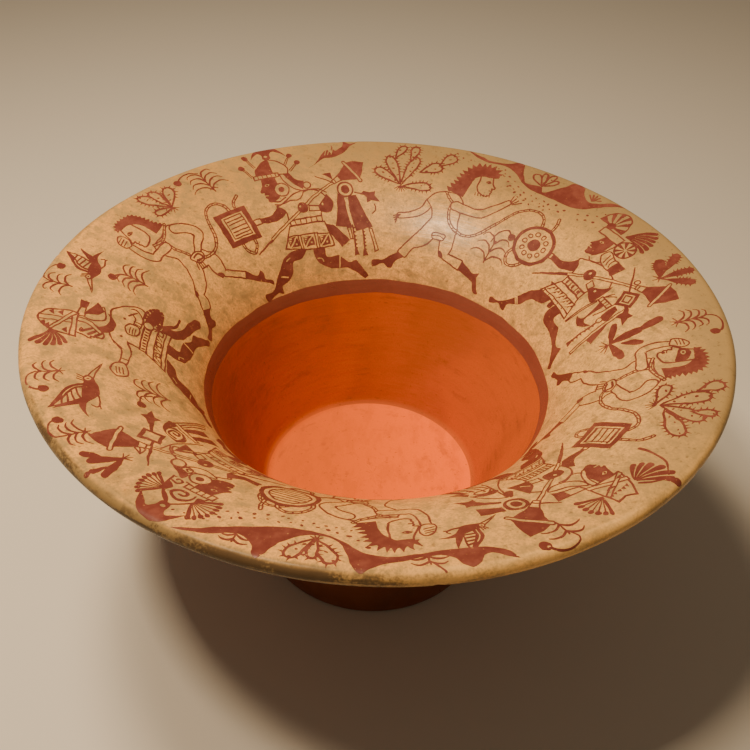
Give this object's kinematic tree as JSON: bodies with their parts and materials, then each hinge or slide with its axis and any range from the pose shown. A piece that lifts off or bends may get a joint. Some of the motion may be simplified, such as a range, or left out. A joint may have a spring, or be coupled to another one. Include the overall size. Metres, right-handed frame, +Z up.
{
  "type": "painted pottery bowl",
  "caption": "Wide flaring pottery bowl with a small deep well and a hollow ring foot, its flare painted in slip with running figures, plants and hills.",
  "frame": {"origin": "centre of the ring foot's underside, on the bowl's axis", "axes": "+Z up along the bowl's axis; the form is round, and -Y is the side that faced the camera"},
  "size_m": [0.38, 0.38, 0.195],
  "materials": {
    "fired_clay": "burnished cream and red slip on terracotta, soft gloss"
  },
  "bodies": {
    "root": {"bowl": "fired_clay"}
  },
  "joints": []
}
